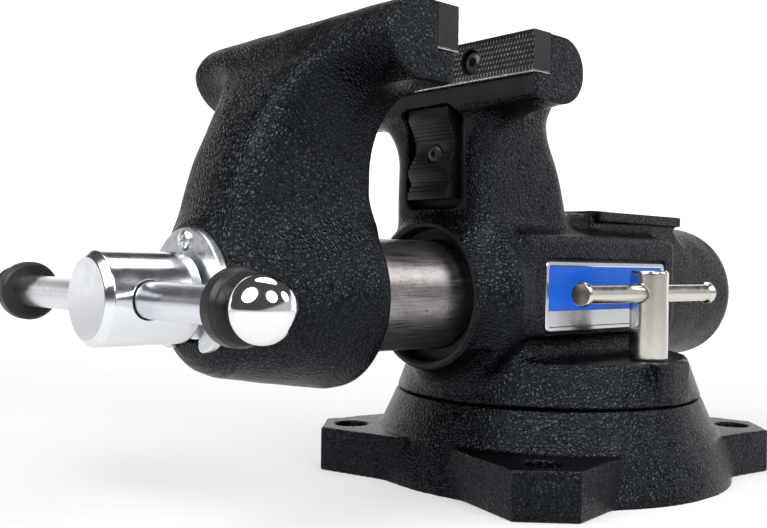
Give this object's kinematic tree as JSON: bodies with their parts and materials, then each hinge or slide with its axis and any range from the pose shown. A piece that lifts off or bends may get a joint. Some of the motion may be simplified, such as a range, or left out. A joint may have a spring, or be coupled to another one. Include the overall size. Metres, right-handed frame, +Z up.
{
  "type": "bench vise",
  "caption": "Mechanic's bench vise with an enclosed round slide, serrated jaw inserts, pipe jaws, an anvil, a sliding T-handle and a lockable swivel base.",
  "frame": {"origin": "the swivel axis on the bench face, at the centre of the base's bolt pattern", "axes": "+Z up the swivel axis, +Y from the handle towards the back of the vise, +X along the jaws to the operator's right"},
  "size_m": [0.2218, 0.4209, 0.2156],
  "materials": {
    "casting": "black hammered enamel over a cast iron body",
    "insert_steel": "dark heat-treated steel with diamond serrations",
    "pipe_jaw_steel": "black oxide steel with cross teeth",
    "dark_steel": "black oxide fasteners and inner steel",
    "bare_iron": "machined cast iron",
    "tube_steel": "turned bare steel with fine drag marks",
    "zinc_plate": "bright zinc plating",
    "bright_steel": "bright plated steel head on a turned screw",
    "chrome": "polished chrome",
    "nickel": "nickel plating",
    "rubber": "smooth black rubber",
    "name_plate": "blank embossed aluminium plate with a blue enamel field"
  },
  "bodies": {
    "base": {"swivel_base": "casting"},
    "vise": {"vise_body": "casting", "spindle_nut": "bare_iron", "nut_pin": "dark_steel", "slide_key": "dark_steel", "key_screw": "dark_steel", "rear_jaw_insert": "insert_steel", "rear_insert_screws": "dark_steel", "rear_pipe_jaw": "pipe_jaw_steel", "rear_pipe_jaw_screw": "dark_steel", "name_plate_right": "name_plate", "name_plate_left": "name_plate", "lock_bolt_right": "dark_steel", "lock_bolt_left": "dark_steel"},
    "slide": {"front_jaw": "casting", "slide_tube": "tube_steel", "tube_pin": "dark_steel", "thrust_washer": "dark_steel", "keeper_plate": "zinc_plate", "keeper_screws": "zinc_plate", "front_jaw_insert": "insert_steel", "front_insert_screws": "dark_steel", "front_pipe_jaw": "pipe_jaw_steel", "front_pipe_jaw_screw": "dark_steel"},
    "screw": {"main_screw": "bright_steel"},
    "handle": {"handle_bar": "chrome", "handle_bumper_right": "rubber", "handle_bumper_left": "rubber", "handle_ball_right": "chrome", "handle_ball_left": "chrome"},
    "lock_right": {"lock_nut_right": "nickel"},
    "lock_left": {"lock_nut_left": "nickel"},
    "lock_handle_right": {"lock_bar_right": "nickel"},
    "lock_handle_left": {"lock_bar_left": "nickel"}
  },
  "joints": [
    {"name": "swivel", "type": "hinge", "parent": "base", "child": "vise", "pos_m": [0, 0, 0.0432], "axis": [0, 0, 1], "continuous": true},
    {"name": "jaw_slide", "type": "slide", "parent": "vise", "child": "slide", "axis": [0, -1, 0], "range_m": [-0.0475, 0.08]},
    {"name": "screw_turn", "type": "hinge", "parent": "slide", "child": "screw", "pos_m": [0, -0.25, 0.0968], "axis": [0, -1, 0], "range_deg": [-3420, 5760]},
    {"name": "handle_slide", "type": "slide", "parent": "screw", "child": "handle", "axis": [1, 0, 0], "range_m": [-0.0535, 0.0745]},
    {"name": "lock_turn_right", "type": "hinge", "parent": "vise", "child": "lock_right", "pos_m": [0.0656, 0, 0.0635], "axis": [0, 0, -1], "range_deg": [-15, 15]},
    {"name": "lock_turn_left", "type": "hinge", "parent": "vise", "child": "lock_left", "pos_m": [-0.0656, 0, 0.0635], "axis": [0, 0, 1], "range_deg": [-15, 15]},
    {"name": "lock_bar_slide_right", "type": "slide", "parent": "lock_right", "child": "lock_handle_right", "axis": [0, 1, 0], "range_m": [-0.043, 0.043]},
    {"name": "lock_bar_slide_left", "type": "slide", "parent": "lock_left", "child": "lock_handle_left", "axis": [0, 1, 0], "range_m": [-0.043, 0.043]}
  ],
  "couplings": [
    {"joint": "jaw_slide", "follows": "screw_turn", "m_per_rad": 0.00079577}
  ]
}
